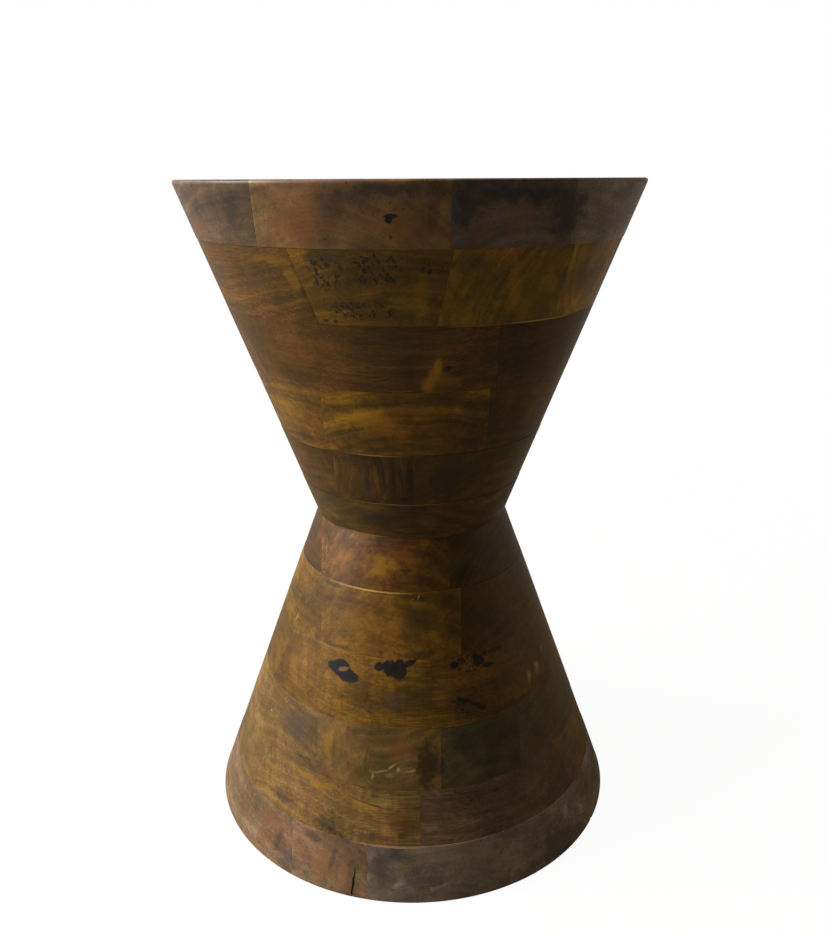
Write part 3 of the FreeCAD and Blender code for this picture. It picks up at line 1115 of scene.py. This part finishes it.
def stainColour(tree, name, tone, place, grain, clouds):
    # the board's own tint, greener or redder from streak to streak and golder or greyer in flecks
    tint, depth = boardOf[name][:2]
    ramp = addNode(tree, "ShaderNodeValToRGB", {"Fac": tone})
    ramp.color_ramp.elements.new(toneStops[1])
    for stop, position, hexColour in zip(ramp.color_ramp.elements, toneStops, tints[tint]):
        stop.position = position
        stop.color = [channel * depth for channel in linear(hexColour)[:3]] + [1]
    colour = ramp.outputs["Color"]
    hues = streaks(tree, grain, figure["hues"], Detail=4, Roughness=0.65)
    for hue in (clouds, hues):
        colour = blended(tree, figure["hueShare"], colour, hue.outputs["Color"], "OVERLAY")
    fleck = patches(tree, place, figure["fleck"], Detail=3, Roughness=0.7)
    blue = remapped(tree, fleck.outputs["Fac"], figure["fleckSpan"], figure["fleckBlue"])
    golder = addNode(tree, "ShaderNodeCombineXYZ", {"X": 1, "Y": 1, "Z": blue})
    return vectorMaths(tree, "MULTIPLY", colour, golder.outputs[0])


def makeWood(name):
    # one board's wood: its figure, stain, pores and marks, with the painted shade and highlights among them,
    # and the satin lacquer over them
    wood = bpy.data.materials.new("stained_mango_" + name)
    wood.use_nodes = True
    tree = wood.node_tree
    coords = addNode(tree, "ShaderNodeTexCoord")
    place = coords.outputs["Object"]
    lay = math.radians(layDegrees.get(layerOf[name], 0))
    grain = grainOf(tree, name, place, lay)
    facing = vectorMaths(tree, "DOT_PRODUCT", coords.outputs["Normal"], (-math.sin(lay), math.cos(lay), 0))
    endGrain = maths(tree, "POWER", facing, 2)
    faded = maths(tree, "MULTIPLY", endGrain, figure["endGrainCalm"])
    fibres = streaks(tree, grain, figure["fibres"], Detail=3, Roughness=0.7)
    fibres = addNode(tree, "ShaderNodeMix", {0: faded, 2: fibres.outputs["Fac"], 3: 0.5},
                     data_type="FLOAT").outputs[0]
    clouds = patches(tree, place, figure["cloud"], Detail=4, Roughness=0.6)
    tone = stainTone(tree, name, place, grain, fibres, clouds)
    colour = stainColour(tree, name, tone, place, grain, clouds)
    filled = dots(tree, stepped(tree, grain, figure["pores"]), figure["poreSpread"],
                  (figure["poreShare"], 2 * figure["poreShare"]), (figure["poreTone"], 1))
    thirsty = maths(tree, "MULTIPLY_ADD", endGrain, -figure["endGrainStain"], filled)
    colour = vectorMaths(tree, "MULTIPLY", colour, thirsty)
    grit = centred(tree, patches(tree, place, figure["grit"], Detail=5, Roughness=0.65), 1)
    fringe = streaks(tree, grain, figure["fringe"], Detail=5, Roughness=0.6)
    fringe = centred(tree, fringe, figure["fringeDepth"])
    for spot in marksOf[layerOf[name]]:
        if reaches(spot, name):
            broad = spot["wide"] > figure["broadFrom"] and spot["high"] > figure["broadHigh"]
            frays = fringe if broad and not spot["specks"] else grit
            colour = placeMark(tree, place, spot, frays, colour)
    spread = lacquer["roughnessSpread"] / 2
    roughs = (lacquer["roughness"] - spread, lacquer["roughness"] + spread)
    rough = remapped(tree, clouds.outputs["Fac"], (0, 1), roughs)
    relief = addNode(tree, "ShaderNodeBump", {
        "Height": maths(tree, "MULTIPLY_ADD", fibres, lacquer["fibreRelief"], filled),
        "Strength": lacquer["relief"],
        "Distance": lacquer["reliefDepth"],
    })
    shader = tree.nodes["Principled BSDF"]
    shader.inputs["IOR"].default_value = lacquer["ior"]
    shader.inputs["Specular IOR Level"].default_value = lacquer["specular"]
    tree.links.new(colour, shader.inputs["Base Color"])
    tree.links.new(rough, shader.inputs["Roughness"])
    tree.links.new(relief.outputs[0], shader.inputs["Normal"])
    return wood


for name in boardNames:
    piece = makeBoard(name, shyOf.get(name, shyOf.get(layerOf[name], 0)) * mm)
    piece.data.materials.append(makeWood(name))
    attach(piece, "root")
    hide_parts(name)
print(len(boardNames), "boards turned")
